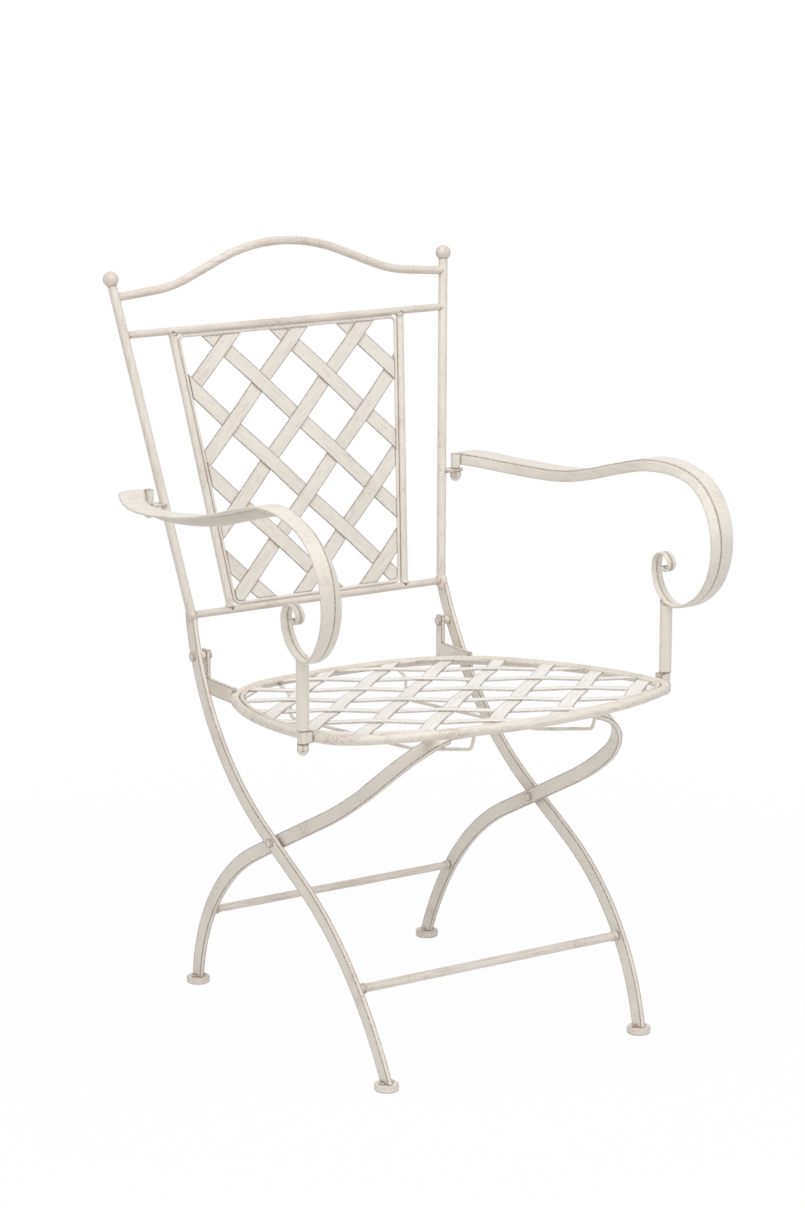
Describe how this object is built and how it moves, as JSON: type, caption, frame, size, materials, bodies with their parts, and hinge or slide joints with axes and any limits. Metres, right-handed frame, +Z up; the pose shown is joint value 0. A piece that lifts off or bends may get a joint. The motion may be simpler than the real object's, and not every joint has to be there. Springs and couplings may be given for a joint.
{
  "type": "folding garden armchair",
  "caption": "Folding garden armchair with scissor legs, a round-cornered seat and tall back of woven flat strip, and arms that end in open curls.",
  "frame": {"origin": "on the floor under the middle of the chair's outline, seen from above", "axes": "+X to the right for someone facing the front, +Y towards the back, +Z up; the chair faces -Y"},
  "size_m": [0.598, 0.6188, 0.9574],
  "materials": {
    "cream_paint": "satin cream paint, lightly worn",
    "worn_paint": "cream paint worn through to brown metal"
  },
  "bodies": {
    "back_frame": {"front_leg_right": "cream_paint", "front_leg_left": "cream_paint", "scissor_rivets": "worn_paint", "scissor_washers": "worn_paint", "seat_rivets": "worn_paint", "seat_bushes": "worn_paint", "front_foot_right": "worn_paint", "front_foot_left": "worn_paint", "front_stretcher": "cream_paint", "back_post_right": "cream_paint", "back_post_left": "cream_paint", "finial_right": "worn_paint", "finial_left": "worn_paint", "lower_rail": "cream_paint", "upper_rail": "cream_paint", "inner_bar_right": "cream_paint", "inner_bar_left": "cream_paint", "top_rail": "cream_paint", "panel_frame": "cream_paint", "back_strips_falling": "cream_paint", "back_strips_rising": "cream_paint", "arm_right": "cream_paint", "arm_left": "cream_paint", "arm_eye_right": "cream_paint", "arm_eye_left": "cream_paint", "arm_bolts": "worn_paint", "arm_post_right": "cream_paint", "arm_post_left": "cream_paint", "arm_sleeve_right": "cream_paint", "arm_sleeve_left": "cream_paint", "cap_nuts": "worn_paint"},
    "leg_frame": {"rear_leg_right": "cream_paint", "rear_leg_left": "cream_paint", "slide_rod": "cream_paint", "rear_foot_right": "worn_paint", "rear_foot_left": "worn_paint", "rear_stretcher": "cream_paint"},
    "seat": {"seat_ring": "cream_paint", "seat_inner_rod": "cream_paint", "seat_strips_falling": "cream_paint", "seat_strips_rising": "cream_paint", "seat_bracket_right": "cream_paint", "seat_bracket_left": "cream_paint", "guide_wire_right": "cream_paint", "guide_wire_left": "cream_paint"}
  },
  "joints": [
    {"name": "leg_fold", "type": "hinge", "parent": "back_frame", "child": "leg_frame", "pos_m": [0, -0.0036, 0.2493], "axis": [-1, 0, 0], "range_deg": [0, 50]},
    {"name": "seat_fold", "type": "hinge", "parent": "back_frame", "child": "seat", "pos_m": [0, 0.19297, 0.446], "axis": [-1, 0, 0], "range_deg": [0, 34.2]}
  ],
  "couplings": [
    {"joint": "seat_fold", "follows": "leg_fold", "ratio": 0.683}
  ]
}
